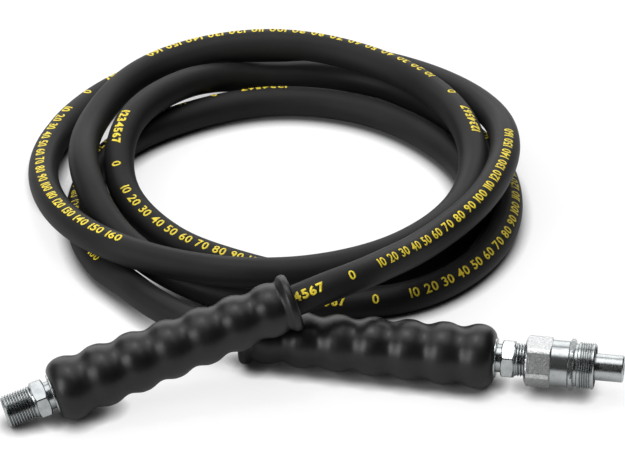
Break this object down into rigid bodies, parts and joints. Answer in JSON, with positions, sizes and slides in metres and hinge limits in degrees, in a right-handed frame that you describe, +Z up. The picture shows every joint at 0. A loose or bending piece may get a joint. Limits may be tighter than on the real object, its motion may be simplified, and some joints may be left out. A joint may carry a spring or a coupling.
{
  "type": "hydraulic hose assembly",
  "caption": "Coiled high-pressure hydraulic hose with ribbed strain-relief grips, crimped end fittings with male taper threads, and a screw-on quick coupler half.",
  "frame": {"origin": "centre of the box round the rigid pieces (grips, fittings and coupler), on the floor that the hose lies on", "axes": "+X along the coupler's axis, from hose to probe; +Z up from the floor; +Y across, from the grips towards the coil"},
  "size_m": [0.3331, 0.363, 0.0602],
  "materials": {
    "grip_rubber": "satin moulded black rubber",
    "hose_cover": "matt wrapped charcoal rubber with a yellow printed line",
    "inner_tube": "smooth",
    "seal_rubber": "smooth",
    "zinc": "bright zinc plate",
    "braid": "braided wire",
    "spring_steel": "spring steel",
    "valve_steel": "ground steel"
  },
  "bodies": {
    "hose": {"left_grip": "grip_rubber", "right_grip": "grip_rubber", "left_ferrule": "zinc", "right_ferrule": "zinc", "left_stem": "zinc", "right_stem": "zinc", "left_hose_end": "hose_cover", "right_hose_end": "hose_cover", "left_wire_braid": "braid", "right_wire_braid": "braid", "left_inner_tube": "inner_tube", "right_inner_tube": "inner_tube", "left_hose_lead": "hose_cover", "hose_coil": "hose_cover", "right_hose_lead": "hose_cover", "coupler_body": "zinc", "snap_ring": "spring_steel", "nose_tube": "zinc", "nose_seal": "seal_rubber", "spring_seat": "valve_steel", "valve_spring": "spring_steel"},
    "collar": {"lock_collar": "zinc"},
    "valve": {"poppet": "valve_steel"}
  },
  "joints": [
    {"name": "collar_turn", "type": "hinge", "parent": "hose", "child": "collar", "pos_m": [0.1328, 0.0314, 0.0165], "axis": [1, 0, 0], "continuous": true},
    {"name": "valve_slide", "type": "slide", "parent": "hose", "child": "valve", "axis": [-1, 0, 0], "range_m": [0, 0.003], "stiffness_N_per_m": 3000, "springref_m": -0.004, "deforming": ["valve_spring"]}
  ]
}
